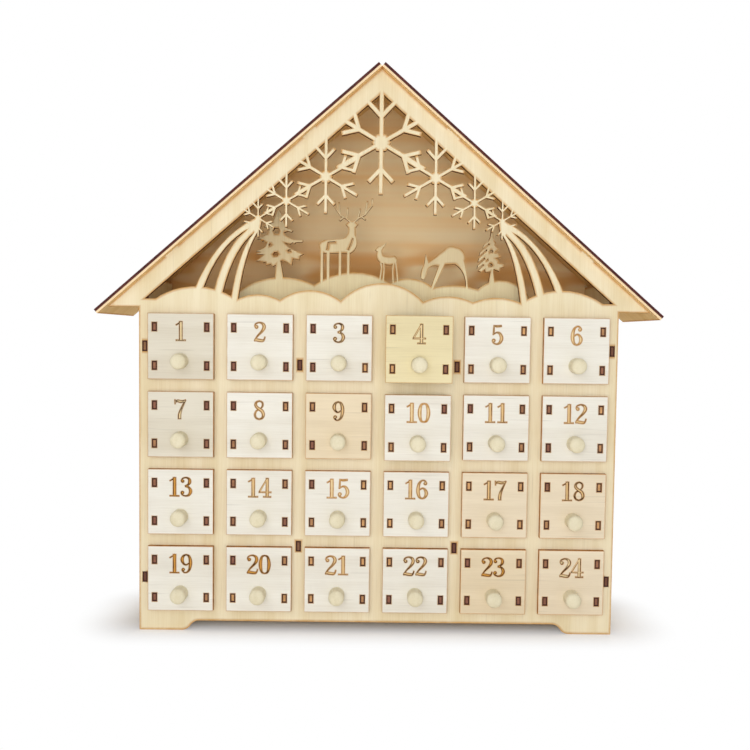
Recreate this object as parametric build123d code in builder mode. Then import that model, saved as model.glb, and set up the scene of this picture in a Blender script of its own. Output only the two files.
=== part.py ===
from build123d import *
import os
from math import cos, radians, sin, tan

# A gabled house of laser-cut plywood, with 24 drawers that pull out of its front.
# X runs to the right, Y to the back and Z up, in millimetres. The origin is on the
# table, under the middle of the whole house, knobs and eaves included.

# Sheet and fits
PLY = 3.0  # every flat piece is cut from this sheet
KERF = 0.1  # room on each side of a tab in its slot
RUN_GAP = 0.2  # drawer above the shelf that it runs on
SHUT_GAP = 0.2  # shut drawer's front plate off the front panel

# Drawer grid
COLUMNS = 6
ROWS = 4
SPACE_X = 8.0  # between neighbouring front plates
SPACE_Z = 7.5

# Drawers
TRAY_WIDTH = 34.7
TRAY_HEIGHT = 34.7
BACK_GAP = 5.2  # behind a shut drawer
WINDOW_GAP = 1.0  # round the tray in its window
FRONT_LAP = 1.65  # front plate past the window on each side
TENON_HEIGHT = 5.4
TENON_PITCH = 23.4
AJAR = {4: 10.0, 10: 5.0}  # drawers that stand open, and how far

# Knobs
KNOB_LENGTH = 9.0
KNOB_RADIUS = 4.8
KNOB_SIDE_COUNT = 16  # a round knob, drawn with few faces because there are many
KNOB_BEVEL = 0.8
KNOB_DROP = 9.0  # below the middle of the front plate

# Case
CARCASS_DEPTH = 60.0  # between the front and back panels
PANEL_LIP = 2.0  # panels past the outside of the walls
GRID_LIFT = 3.4  # drawer grid above the panels' lower edge
WALL_TAB = 6.4
BOARD_TAB = 24.0
DIVIDER_TAB_OFFSET = 8.4  # tab beside the outer shelf's middle
LOFT_DROP = 2.4  # loft floor below the gable's sill

# Feet
FOOT_HEIGHT = 6.0
FOOT_FLAT = 26.0
FOOT_OGEE = 11.0

# Roof
ROOF_PITCH = 41.2
EAR_REACH = 19.0  # panels' ears past their sides
EAVE_OVERHANG = 6.7  # boards past the ears, down the slope
VERGE_OVERHANG = 4.5  # boards past the panels, front and back
ROOF_TAB = 12.0
ROOF_TAB_PITCH = 110.0

# Gable opening
RIM_WIDTH = 11.0
SILL_RISE = 5.0  # sill above the drawer grid
SILL_END = 6.5  # level stretch at each end of the hills
FRONT_HILLS = ((49.0, 7.7), (26.0, 3.3), (36.7, 6.2), (49.8, 11.0), (30.0, 3.5), (29.0, 3.0), (49.5, 7.8))

# Snowflakes, each smaller than the last by one ratio, hung from the rim by their top arms
FLAKE_ARMS = 6
FLAKE_SIDE_COUNT = 3
FLAKE_RATIO = 0.715
FLAKE_STEP = 33.2
FLAKE_ARM = 31.0
FLAKE_BITE = 1.5  # top arm's end in the rim
FLAKE_BAR = 2.7
FLAKE_HUB = 10.0  # across the flats
FLAKE_FORK = 15.5
FLAKE_TWIG = 11.0
FLAKE_TWIG_ANGLE = 43.0

# Tails of the shooting stars: three strands from a head beside the last flake to the sill
TAIL_HEAD = ((0.0, 0.8), (6.7, -7.0), (2.0, -8.3), (-1.2, -6.4), (-2.2, -1.5))
TAIL_FEET = ((41.6, 36.0), (28.4, 22.9), (16.8, 12.4))  # each strand's outer and inner edge
TAIL_BEND = (0.70, 0.26)  # how far out and down an edge's corner lies
TAIL_SINK = 3.0  # feet below the sill, in the hills

# Scene panel: hills from valley to top to valley, above the sill
SCENE_SETBACK = 15.0  # behind the front panel
SCENE_HALF = 97.0
SCENE_HILLS = (
    (-67.0, 14.7),
    (-41.0, 10.5),
    (-17.3, 18.7),
    (6.7, 12.3),
    (16.0, 15.2),
    (34.0, 9.7),
    (46.0, 11.3),
    (62.0, 9.0),
    (76.0, 14.8),
)
SCENE_TAB = 10.0
SCENE_TAB_PITCH = 60.0
SCENE_TAB_COUNT = 3
HOOF = 8.0  # legs and trunks run down to here, inside the hills

# Scene figures: runs of an outline, where two points are a straight cut and three an arc
STAG = (
    ((-38.3, 35.8), (-36.2, 38.0), (-33.0, 38.7)),
    ((-33.0, 38.7), (-24.0, 39.4)),
    ((-24.0, 39.4), (-21.0, 41.4), (-19.9, 46.5)),
    ((-19.9, 46.5), (-21.6, 48.6)),
    ((-21.6, 48.6), (-19.3, 50.5)),
    ((-19.3, 50.5), (-15.7, 50.5)),
    ((-15.7, 50.5), (-13.7, 48.6)),
    ((-13.7, 48.6), (-15.4, 46.5)),
    ((-15.4, 46.5), (-15.2, 41.0)),
    ((-15.2, 41.0), (-14.5, 35.5), (-18.7, 30.6)),
    ((-18.7, 30.6), (-37.2, 30.6)),
    ((-37.2, 30.6), (-38.3, 35.8)),
)
STAG_LEGS = (-36.3, -32.3, -24.9, -19.7)
STAG_LEG = 1.9
STAG_SLITS = (
    ((-33.0, 32.4), (-32.2, 37.3), (-28.2, 37.6)),
    ((-19.6, 32.6), (-18.0, 36.5), (-16.8, 39.8)),
)
STAG_SLIT = 0.7
ANTLERS = (
    ((-18.6, 50.0), (-20.8, 52.2), (-25.0, 54.5), (-28.2, 59.0), (-28.6, 63.2)),
    ((-16.4, 50.0), (-14.2, 52.2), (-9.5, 55.0), (-5.2, 60.5), (-4.9, 65.0)),
)
TINES = (
    ((-20.8, 52.2), (-20.4, 59.0)),
    ((-25.0, 54.5), (-25.9, 62.4)),
    ((-22.6, 53.3), (-25.6, 50.9)),
    ((-14.2, 52.2), (-12.4, 58.5)),
    ((-9.5, 55.0), (-8.0, 63.4)),
    ((-11.8, 53.6), (-9.0, 51.6)),
)
ANTLER = 1.0

FAWN = (
    ((-2.9, 32.8), (-1.2, 34.9)),
    ((-1.2, 34.9), (1.0, 35.1)),
    ((1.0, 35.1), (4.2, 37.6)),
    ((4.2, 37.6), (2.2, 34.2)),
    ((2.2, 34.2), (1.6, 31.8), (2.4, 29.4)),
    ((2.4, 29.4), (6.0, 28.8), (9.4, 29.4)),
    ((9.4, 29.4), (11.0, 27.6), (10.6, 25.0)),
    ((10.6, 25.0), (6.6, 23.6), (2.8, 24.3)),
    ((2.8, 24.3), (-1.4, 27.2), (-1.5, 31.9)),
    ((-1.5, 31.9), (-2.9, 32.8)),
)
FAWN_LEGS = (
    ((0.6, 25.4), (1.4, 21.5), (-0.6, HOOF)),
    ((2.6, 24.8), (2.9, 20.5), (1.9, HOOF)),
    ((9.0, 24.8), (8.3, 20.5), (9.0, HOOF)),
    ((10.0, 25.6), (10.9, 20.0), (11.9, HOOF)),
)
FAWN_LEG = 1.1

DOE = (
    ((30.7, 25.4), (40.5, 33.6)),
    ((40.5, 33.6), (43.5, 35.6), (48.0, 35.2)),
    ((48.0, 35.2), (53.0, 32.0), (53.5, 26.5)),
    ((53.5, 26.5), (54.9, 19.0), (55.9, HOOF)),
    ((55.9, HOOF), (54.0, HOOF)),
    ((54.0, HOOF), (52.8, 18.8), (47.6, 24.6)),
    ((47.6, 24.6), (41.0, 24.2)),
    ((41.0, 24.2), (33.9, HOOF)),
    ((33.9, HOOF), (31.9, HOOF)),
    ((31.9, HOOF), (37.0, 23.2)),
    ((37.0, 23.2), (33.5, 23.4), (30.6, 21.2)),
    ((30.6, 21.2), (28.6, 16.2)),
    ((28.6, 16.2), (27.2, 14.8), (26.2, 15.8)),
    ((26.2, 15.8), (26.4, 20.0), (28.2, 24.6)),
    ((28.2, 24.6), (29.0, 30.8)),
    ((29.0, 30.8), (30.7, 25.4)),
)

LEFT_FIR = (
    (-66.4, HOOF), (-65.1, 22.9), (-67.0, 21.7), (-68.2, 23.2), (-71.4, 22.4), (-71.2, 24.5),
    (-73.3, 24.2), (-75.2, 25.2), (-77.6, 25.1), (-72.8, 29.2), (-77.6, 29.4), (-74.4, 30.7),
    (-77.6, 31.2), (-74.4, 32.4), (-71.8, 34.2), (-70.9, 36.4), (-71.9, 36.6), (-73.0, 38.0),
    (-74.0, 37.3), (-75.1, 38.7), (-77.0, 38.7), (-73.4, 40.1), (-71.0, 41.6), (-69.7, 44.2),
    (-69.7, 45.9), (-71.2, 45.8), (-73.3, 46.7), (-70.0, 48.7), (-67.5, 49.9), (-66.2, 52.1),
    (-64.1, 58.6), (-60.9, 52.9), (-59.3, 48.4), (-57.8, 45.7), (-54.4, 44.4), (-55.4, 43.3),
    (-57.4, 43.9), (-60.3, 43.1), (-58.4, 40.9), (-56.0, 39.5), (-53.0, 38.5), (-48.2, 38.4),
    (-48.5, 37.2), (-52.8, 36.9), (-53.8, 35.9), (-54.5, 37.1), (-56.4, 35.8), (-59.6, 36.7),
    (-57.7, 34.2), (-55.0, 32.5), (-51.9, 31.5), (-47.6, 29.8), (-50.0, 28.7), (-50.3, 26.1),
    (-54.4, 26.8), (-55.1, 22.5), (-57.6, 24.3), (-61.1, 25.5), (-62.2, 25.2), (-59.0, HOOF),
)
LEFT_FIR_HOLES = ((-64.9, 43.9, 2.3), (-65.3, 29.4, 1.8), (-68.9, 35.2, 1.0), (-56.7, 31.7, 1.1))
RIGHT_FIR = (
    (68.0, HOOF), (69.9, 20.3), (66.8, 19.8), (66.2, 21.7), (63.9, 19.9), (62.0, 20.8), (65.5, 24.0),
    (65.0, 24.8), (61.6, 22.2), (61.8, 24.0), (66.4, 28.1), (65.7, 29.0), (62.0, 25.8), (62.6, 28.8),
    (67.6, 33.3), (66.9, 34.1), (62.5, 30.0), (63.3, 32.3), (69.1, 37.1), (68.4, 37.8), (64.8, 34.9),
    (65.4, 37.0), (68.5, 39.6), (69.5, 42.2), (70.2, 49.6), (71.3, 42.3), (71.6, 40.0), (73.2, 38.4),
    (72.4, 36.8), (75.0, 34.2), (72.3, 32.0), (74.7, 32.1), (76.5, 29.4), (73.3, 28.7), (75.2, 27.2),
    (74.7, 25.4), (78.8, 25.1), (78.3, 23.1), (76.4, 22.8), (75.4, 20.5), (71.9, 21.8), (71.6, 20.2),
    (73.6, HOOF),
)
RIGHT_FIR_HOLES = ((70.1, 32.8, 1.3), (69.8, 24.3, 1.3), (67.8, 27.4, 0.7))
FIR_HOLE_FLATTEN = 0.75  # height of a six-sided hole over its width

# Places that follow from the sizes
window_width = TRAY_WIDTH + 2 * WINDOW_GAP
window_height = TRAY_HEIGHT + 2 * WINDOW_GAP
front_width = window_width + 2 * FRONT_LAP
front_height = window_height + 2 * FRONT_LAP
pitch_x = front_width + SPACE_X
pitch_z = front_height + SPACE_Z
tray_length = CARCASS_DEPTH + PLY + SHUT_GAP - BACK_GAP
wall_out = COLUMNS * pitch_x / 2
wall_in = wall_out - PLY
body_half = wall_out + PANEL_LIP
grid_bottom = FOOT_HEIGHT + GRID_LIFT
grid_top = grid_bottom + ROWS * pitch_z
grid_middle = (grid_bottom + grid_top) / 2
row_centres = [grid_top - (row + 0.5) * pitch_z for row in range(ROWS)]
column_centres = [(column - (COLUMNS - 1) / 2) * pitch_x for column in range(COLUMNS)]
divider_x = [(column - COLUMNS / 2) * pitch_x for column in range(1, COLUMNS)]
shelf_tops = [z - TRAY_HEIGHT / 2 - RUN_GAP for z in row_centres]
base_top = shelf_tops[-1]
sill_z = grid_top + SILL_RISE
loft_top = sill_z - LOFT_DROP
loft_low = loft_top - PLY
slope = tan(radians(ROOF_PITCH))
ear_tip = body_half + EAR_REACH
apex_z = grid_top + ear_tip * slope
rim_drop = RIM_WIDTH / cos(radians(ROOF_PITCH))
rim_apex_z = apex_z - rim_drop
sill_half = (rim_apex_z - sill_z) / slope
board_length = ear_tip / cos(radians(ROOF_PITCH)) + EAVE_OVERHANG
roof_depth = CARCASS_DEPTH + 2 * PLY + 2 * VERGE_OVERHANG
whole_depth = max(AJAR.values()) + KNOB_LENGTH + PLY + SHUT_GAP + roof_depth - VERGE_OVERHANG
front_in = whole_depth / 2 - VERGE_OVERHANG - PLY - CARCASS_DEPTH
back_in = front_in + CARCASS_DEPTH
carcass_middle = (front_in + back_in) / 2
front_face = front_in - PLY
slot_width = PLY + 2 * KERF
lap_reach = CARCASS_DEPTH / 2 + KERF
wall_tab_rows = (row_centres[0], row_centres[-1])
tabbed_x = (divider_x[1], divider_x[-2])
plain_x = [x for x in divider_x if x not in tabbed_x]
divider_tab_rows = (
    shelf_tops[0] - PLY / 2 + DIVIDER_TAB_OFFSET,
    shelf_tops[-2] - PLY / 2 - DIVIDER_TAB_OFFSET,
)


def roof_under(x):
    """Height of the roof's underside over a place across the house."""
    return apex_z - abs(x) * slope


def house_outline():
    """Both panels' outline: ogee feet, straight sides, ears and the gable."""
    foot_end = body_half - FOOT_FLAT
    ogee_end = foot_end - FOOT_OGEE
    with BuildLine() as outline:
        Line((0, FOOT_HEIGHT), (ogee_end, FOOT_HEIGHT))
        ogee_top = TangentArc(
            (ogee_end, FOOT_HEIGHT), (foot_end - FOOT_OGEE / 2, FOOT_HEIGHT / 2), tangent=(1, 0)
        )
        TangentArc(ogee_top @ 1, (foot_end, 0), tangent=ogee_top % 1)
        Polyline((foot_end, 0), (body_half, 0), (body_half, grid_top), (ear_tip, grid_top), (0, apex_z))
        mirror(about=Plane.YZ)
    make_face(outline.edges())


def roof_tabs():
    """Tabs on a panel's gable that come up through both roof boards."""
    for side in (-1, 1):
        for along in (board_length - ROOF_TAB_PITCH) / 2, (board_length + ROOF_TAB_PITCH) / 2:
            run = along * cos(radians(ROOF_PITCH))
            with Locations((side * run, roof_under(run))):
                Rectangle(ROOF_TAB, 2 * PLY, rotation=-side * ROOF_PITCH)


def case_slots():
    """Slots in a panel for the tabs of the walls and the tabbed dividers."""
    with Locations(*[(side * (wall_out - PLY / 2), z) for side in (-1, 1) for z in wall_tab_rows]):
        Rectangle(slot_width, WALL_TAB + 2 * KERF, mode=Mode.SUBTRACT)
    with Locations(*[(x, z) for x in tabbed_x for z in divider_tab_rows]):
        Rectangle(slot_width, WALL_TAB + 2 * KERF, mode=Mode.SUBTRACT)


def cut_out(runs):
    """Face inside an outline of straight and smooth runs."""
    with BuildLine() as outline:
        for run in runs:
            if len(run) == 2:
                Line(*run)
            else:
                ThreePointArc(*run)
    make_face(outline.edges())


def strokes(lines, width):
    """Bars of one width along each line."""
    with BuildLine() as drawn:
        for line in lines:
            Polyline(*line)
    trace(drawn.line, line_width=width)


def tail_edge(start, foot):
    """Control points of one curved edge of a tail, from its head down into the hills."""
    top = Vector(star[0] + start[0], star[1] + start[1])
    end = Vector(star[0] + foot, sill_z - TAIL_SINK)
    corner = Vector(
        top.X + TAIL_BEND[0] * (end.X - top.X),
        top.Y + TAIL_BEND[1] * (end.Y - top.Y),
    )
    return top, corner, end


# Snowflake at its largest size: a six-sided hub and six forked arms
with BuildSketch() as flake:
    RegularPolygon(FLAKE_HUB / 2, FLAKE_ARMS, major_radius=False)
    with PolarLocations(0, FLAKE_ARMS, start_angle=90):
        Rectangle(FLAKE_ARM, FLAKE_BAR, align=(Align.MIN, Align.CENTER))
    with PolarLocations(FLAKE_FORK, FLAKE_ARMS, start_angle=90):
        for turn in (-FLAKE_TWIG_ANGLE, FLAKE_TWIG_ANGLE):
            Rectangle(FLAKE_TWIG, FLAKE_BAR, rotation=turn, align=(Align.MIN, Align.CENTER))

# Front panel: windows, hills, snowflakes and tails in one sheet
flake_sizes = [FLAKE_RATIO**step for step in range(FLAKE_SIDE_COUNT + 1)]
flake_x = [FLAKE_STEP * sum(flake_sizes[:step]) for step in range(FLAKE_SIDE_COUNT + 1)]
flake_z = [
    rim_apex_z - x * slope + FLAKE_BITE * size - FLAKE_ARM * size for x, size in zip(flake_x, flake_sizes)
]
star = (flake_x[-1], flake_z[-1])
hill_scale = 2 * (sill_half - SILL_END) / sum(width for width, _ in FRONT_HILLS)

with BuildPart() as front_panel:
    with BuildSketch(Plane.XZ.offset(-front_in)):
        house_outline()
        roof_tabs()
        case_slots()
        with Locations((0, grid_middle)):
            with GridLocations(pitch_x, pitch_z, COLUMNS, ROWS):
                Rectangle(window_width, window_height, mode=Mode.SUBTRACT)
        with BuildLine():
            valley = SILL_END - sill_half
            Line((-sill_half, sill_z), (valley, sill_z))
            for width, height in FRONT_HILLS:
                next_valley = valley + width * hill_scale
                ThreePointArc(
                    (valley, sill_z),
                    ((valley + next_valley) / 2, sill_z + height),
                    (next_valley, sill_z),
                )
                valley = next_valley
            Polyline((valley, sill_z), (sill_half, sill_z), (0, rim_apex_z), (-sill_half, sill_z))
        make_face(mode=Mode.SUBTRACT)
        for step, size in enumerate(flake_sizes):
            for side in (1, -1) if step else (1,):
                with Locations((side * flake_x[step], flake_z[step])):
                    add(scale(flake.sketch, by=size, mode=Mode.PRIVATE))
        with Locations(star):
            head = Polygon(*TAIL_HEAD, align=None)
        mirror(head, about=Plane.YZ)
        for strand, (outer_foot, inner_foot) in enumerate(TAIL_FEET):
            with BuildLine():
                outer = Bezier(*tail_edge(TAIL_HEAD[strand], outer_foot))
                inner = Bezier(*tail_edge(TAIL_HEAD[strand + 1], inner_foot))
                Line(outer @ 0, inner @ 0)
                Line(outer @ 1, inner @ 1)
            tail = make_face()
            mirror(tail, about=Plane.YZ)
    extrude(amount=PLY)
front_panel.part.label = "front_panel"

# Scene panel: hills with firs and deer, standing on the loft floor
scene_plane = Plane(
    origin=(0, front_in + SCENE_SETBACK + PLY, sill_z), x_dir=(1, 0, 0), z_dir=(0, -1, 0)
)
with BuildPart() as scene_panel:
    with BuildSketch(scene_plane):
        with BuildLine():
            hill_points = [(-SCENE_HALF, -LOFT_DROP), *SCENE_HILLS, (SCENE_HALF, -LOFT_DROP)]
            for start in range(0, len(hill_points) - 1, 2):
                ThreePointArc(*hill_points[start : start + 3])
            Line(hill_points[-1], hill_points[0])
        make_face()
        with Locations((0, -LOFT_DROP - PLY / 2)):
            with GridLocations(SCENE_TAB_PITCH, 1, SCENE_TAB_COUNT, 1):
                Rectangle(SCENE_TAB, PLY)
        cut_out(STAG)
        with Locations(*[(x, HOOF) for x in STAG_LEGS]):
            Rectangle(STAG_LEG, STAG[-1][0][1] - HOOF, align=(Align.CENTER, Align.MIN))
        cut_out(FAWN)
        cut_out(DOE)
        strokes(FAWN_LEGS, FAWN_LEG)
        strokes(ANTLERS + TINES, ANTLER)
        for tree in (LEFT_FIR, RIGHT_FIR):
            with BuildLine():
                Polyline(*tree, close=True)
            make_face()
        for x, z, half_width in LEFT_FIR_HOLES + RIGHT_FIR_HOLES:
            run, rise = half_width / 2, half_width * FIR_HOLE_FLATTEN
            with BuildLine():
                Polyline(
                    (x - half_width, z), (x - run, z + rise), (x + run, z + rise),
                    (x + half_width, z), (x + run, z - rise), (x - run, z - rise), close=True,
                )
            make_face(mode=Mode.SUBTRACT)
        with BuildLine() as slits:
            for line in STAG_SLITS:
                Polyline(*line)
        trace(slits.line, line_width=STAG_SLIT, mode=Mode.SUBTRACT)
    extrude(amount=PLY)
scene_panel.part.label = "scene_panel"

# Back panel: the same house outline, closed
with BuildPart() as back_panel:
    with BuildSketch(Plane.XZ.offset(-back_in - PLY)):
        house_outline()
        roof_tabs()
        case_slots()
    extrude(amount=PLY)
back_panel.part.label = "back_panel"

# Boards across the case: base, three shelves and loft floor, tabbed through the walls
board_middles = [loft_top - PLY / 2] + [z - PLY / 2 for z in shelf_tops]


def board_sheet():
    """A board from wall to wall, with a tab at each end."""
    with Locations((0, carcass_middle)):
        Rectangle(2 * wall_in, CARCASS_DEPTH)
        Rectangle(2 * wall_out, BOARD_TAB)


with BuildPart() as base_board:
    with BuildSketch(Plane.XY.offset(base_top - PLY)):
        board_sheet()
    extrude(amount=PLY)
base_board.part.label = "base_board"

with BuildPart() as loft_floor:
    with BuildSketch(Plane.XY.offset(loft_low)):
        board_sheet()
        with Locations((0, front_in + SCENE_SETBACK + PLY / 2)):
            with GridLocations(SCENE_TAB_PITCH, 1, SCENE_TAB_COUNT, 1):
                Rectangle(SCENE_TAB + 2 * KERF, slot_width, mode=Mode.SUBTRACT)
    extrude(amount=PLY)
loft_floor.part.label = "loft_floor"

with BuildPart() as shelves:
    for top in shelf_tops[:-1]:
        with BuildSketch(Plane.XY.offset(top - PLY)):
            board_sheet()
            with Locations(*[(x, back_in) for x in divider_x]):
                Rectangle(
                    slot_width, lap_reach, align=(Align.CENTER, Align.MAX), mode=Mode.SUBTRACT
                )
        extrude(amount=PLY)
shelves.part.label = "shelves"


def divider_sheet(tabbed):
    """An upright from base to loft, with a notch over each shelf."""
    with Locations((carcass_middle, (base_top + loft_low) / 2)):
        Rectangle(CARCASS_DEPTH, loft_low - base_top)
    if tabbed:
        with Locations(*[(carcass_middle, z) for z in divider_tab_rows]):
            Rectangle(CARCASS_DEPTH + 2 * PLY, WALL_TAB)
    with Locations(*[(front_in, z - PLY / 2) for z in shelf_tops[:-1]]):
        Rectangle(lap_reach, slot_width, align=(Align.MIN, Align.CENTER), mode=Mode.SUBTRACT)


with BuildPart() as tabbed_dividers:
    for x in tabbed_x:
        with BuildSketch(Plane.YZ.offset(x - PLY / 2)):
            divider_sheet(tabbed=True)
        extrude(amount=PLY)
tabbed_dividers.part.label = "tabbed_dividers"

with BuildPart() as plain_dividers:
    for x in plain_x:
        with BuildSketch(Plane.YZ.offset(x - PLY / 2)):
            divider_sheet(tabbed=False)
        extrude(amount=PLY)
plain_dividers.part.label = "plain_dividers"

# Side walls: tabs into both panels, slots for every board
with BuildPart() as right_wall:
    with BuildSketch(Plane.YZ.offset(wall_in)):
        with Locations((carcass_middle, FOOT_HEIGHT)):
            Rectangle(
                CARCASS_DEPTH, roof_under(wall_out) - FOOT_HEIGHT, align=(Align.CENTER, Align.MIN)
            )
        with Locations(*[(carcass_middle, z) for z in wall_tab_rows]):
            Rectangle(CARCASS_DEPTH + 2 * PLY, WALL_TAB)
        with Locations(*[(carcass_middle, z) for z in board_middles]):
            Rectangle(BOARD_TAB + 2 * KERF, slot_width, mode=Mode.SUBTRACT)
    extrude(amount=PLY)
right_wall.part.label = "right_wall"

with BuildPart() as left_wall:
    mirror(right_wall.part, about=Plane.YZ)
left_wall.part.label = "left_wall"

# Roof boards: square-cut sheets over the gables, slotted for their tabs
right_slope = Plane(
    origin=(0, carcass_middle, apex_z),
    x_dir=(cos(radians(ROOF_PITCH)), 0, -sin(radians(ROOF_PITCH))),
    z_dir=(sin(radians(ROOF_PITCH)), 0, cos(radians(ROOF_PITCH))),
)
with BuildPart() as right_roof_board:
    with BuildSketch(right_slope):
        Rectangle(board_length, roof_depth, align=(Align.MIN, Align.CENTER))
        with Locations((board_length / 2, 0)):
            with GridLocations(ROOF_TAB_PITCH, CARCASS_DEPTH + PLY, 2, 2):
                Rectangle(ROOF_TAB + 2 * KERF, slot_width, mode=Mode.SUBTRACT)
    extrude(amount=PLY)
right_roof_board.part.label = "right_roof_board"

with BuildPart() as left_roof_board:
    mirror(right_roof_board.part, about=Plane.YZ)
left_roof_board.part.label = "left_roof_board"

# One drawer about the middle of its front plate's back: five sheets, glued
tenon_rows = (-TENON_PITCH / 2, TENON_PITCH / 2)
side_x = (TRAY_WIDTH - PLY) / 2
tray_inside = TRAY_WIDTH - 2 * PLY

with BuildPart() as drawer_front:
    with BuildSketch(Plane.XZ):
        Rectangle(front_width, front_height)
        with Locations(*[(side * side_x, z) for side in (-1, 1) for z in tenon_rows]):
            Rectangle(slot_width, TENON_HEIGHT + 2 * KERF, mode=Mode.SUBTRACT)
    extrude(amount=PLY)

with BuildPart() as drawer_right_side:
    with BuildSketch(Plane.YZ.offset(side_x - PLY / 2)):
        Rectangle(tray_length, TRAY_HEIGHT, align=(Align.MIN, Align.CENTER))
        with Locations(*[(0, z) for z in tenon_rows]):
            Rectangle(2 * PLY, TENON_HEIGHT)
    extrude(amount=PLY)

with BuildPart() as drawer_left_side:
    mirror(drawer_right_side.part, about=Plane.YZ)

with BuildPart() as drawer_back:
    with BuildSketch(Plane.XZ.offset(-tray_length)):
        Rectangle(tray_inside, TRAY_HEIGHT)
    extrude(amount=PLY)

with BuildPart() as drawer_bottom:
    with BuildSketch(Plane.XY.offset(-TRAY_HEIGHT / 2)):
        Rectangle(tray_inside, tray_length - PLY, align=(Align.CENTER, Align.MIN))
    extrude(amount=PLY)

# One turned knob, about the middle of its foot
with BuildPart() as turned_knob:
    with BuildSketch(Plane.XZ):
        RegularPolygon(KNOB_RADIUS, KNOB_SIDE_COUNT)
    extrude(amount=KNOB_LENGTH)
    chamfer(faces().sort_by(Axis.Y)[0].edges(), KNOB_BEVEL)

# Write the case, then each drawer and its knob in its place
os.makedirs("parts", exist_ok=True)
for piece in (
    front_panel, scene_panel, back_panel, base_board, loft_floor, shelves, tabbed_dividers,
    plain_dividers, left_wall, right_wall, left_roof_board, right_roof_board,
):
    export_step(piece.part, f"parts/{piece.part.label}.step")

drawer_pieces = (drawer_front, drawer_left_side, drawer_right_side, drawer_back, drawer_bottom)
for number in range(1, COLUMNS * ROWS + 1):
    row, column = divmod(number - 1, COLUMNS)
    front_back = front_face - SHUT_GAP - AJAR.get(number, 0)
    place = Location((column_centres[column], front_back, row_centres[row]))
    drawer = Compound(children=[place * piece.part for piece in drawer_pieces])
    drawer.label = f"drawer_{number:02d}"
    export_step(drawer, f"parts/{drawer.label}.step")
    knob = place * Pos(0, -PLY, -KNOB_DROP) * turned_knob.part
    knob.label = f"knob_{number:02d}"
    export_step(knob, f"parts/{knob.label}.step")
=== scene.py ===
from collections import Counter
from math import cos, inf, pi, radians, sin

import bmesh
import bpy
from mathutils import Matrix, Vector
from mathutils.bvhtree import BVHTree
from mathutils.geometry import delaunay_2d_cdt


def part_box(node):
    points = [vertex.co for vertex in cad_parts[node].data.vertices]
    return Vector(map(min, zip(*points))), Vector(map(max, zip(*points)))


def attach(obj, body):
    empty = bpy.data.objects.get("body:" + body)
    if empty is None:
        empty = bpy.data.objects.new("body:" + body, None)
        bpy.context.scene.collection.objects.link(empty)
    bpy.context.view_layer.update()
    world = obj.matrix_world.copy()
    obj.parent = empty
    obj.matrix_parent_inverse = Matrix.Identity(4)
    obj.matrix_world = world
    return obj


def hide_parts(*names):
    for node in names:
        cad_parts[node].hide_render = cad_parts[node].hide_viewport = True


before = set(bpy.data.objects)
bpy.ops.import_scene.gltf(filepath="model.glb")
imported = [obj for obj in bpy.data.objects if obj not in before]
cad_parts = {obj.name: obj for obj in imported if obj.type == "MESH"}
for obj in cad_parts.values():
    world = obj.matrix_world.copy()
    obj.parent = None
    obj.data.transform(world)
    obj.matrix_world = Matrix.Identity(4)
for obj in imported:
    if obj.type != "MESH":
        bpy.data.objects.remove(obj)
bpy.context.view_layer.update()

# Boards and uprights inside the case: base, shelves, loft floor and dividers. Each is cut by a laser
# from thin bare plywood, which scorches the cut edges, and they are slotted into one another.
MM = 0.001
WELD = 0.001 * MM  # corners of a CAD sheet's triangles closer than this are one corner
SMOKE_RIM = 2.0 * MM  # stained strip along a cut, on the face of the sheet
END_RIM = 0.9 * MM  # burnt strip round the end of a tab
END_EDGE, END_CORE = 0.5, 0.88  # core values on the edge and in the paler middle of a tab's end
STRIP_REACH = 2.0  # farthest that a corner of a strip moves, in strip widths
STRIP_SHARE = 0.3  # and the most of the way to the opposite edge
STRAIGHT_ON = 0.02  # two edges that turn less than this are taken as one line
NARROW_SMOKE = 0.5 * MM  # where a strip is narrower, smoke reaches its inner side too
SAME_KIND, SAME_WAY, SAME_PLANE = 0.01, 0.99, 10 * WELD  # faces that are filled anew together
FILL_SLACK = 1e-5  # smallest detail of a filling, in millimetres
PROBE_DEPTH = 0.2 * MM  # where the opposite edge is looked for, under the face
PROBE_SKIP = 0.02 * MM  # and how far off the corner's own edges
BROAD, GROOVE, TAB_END, CUT = 0.0, 0.5, 0.9, 1.0  # kinds of face, as their burn values
TABBED = ("left_wall", "right_wall", "tabbed_dividers")  # sheets with tabs through the front and back
INNER_PALE = (232, 212, 168)
INNER_DARK = (206, 178, 128)
SMOKE = (196, 140, 62)
CHAR_LIGHT = (122, 68, 36)
CHAR_DARK = (58, 28, 20)
END_RING = (64, 36, 30)
END_CORE_PALE = (226, 172, 114)
END_CORE_DARK = (148, 98, 78)
UPRIGHT_GRAIN = (1, 1, 0.03)  # how fast the figure changes along X, Y and Z
LEVEL_GRAIN = (0.03, 1, 1)
NO_GRAIN = (1, 1, 1)
FIBRES, FLECKS, BANDS, CLOUDS = 1500, 620, 95, 28  # patterns of the wood, in features to the metre
STREAKS, WAVES, END_TONES = 900, 210, 17  # and of its char
FLECK_SHADE = 0.82  # of the wood's dark tone
GRAIN_RELIEF = 0.06 * MM
DULL = 0.25  # specular level of bare wood


def paint(red, green, blue):
    """A colour as it looks on a screen, from 0 to 255, as the shader wants it."""
    shares = [value / 255 for value in (red, green, blue)]
    return (*[s / 12.92 if s < 0.04045 else ((s + 0.055) / 1.055) ** 2.4 for s in shares], 1)


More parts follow.
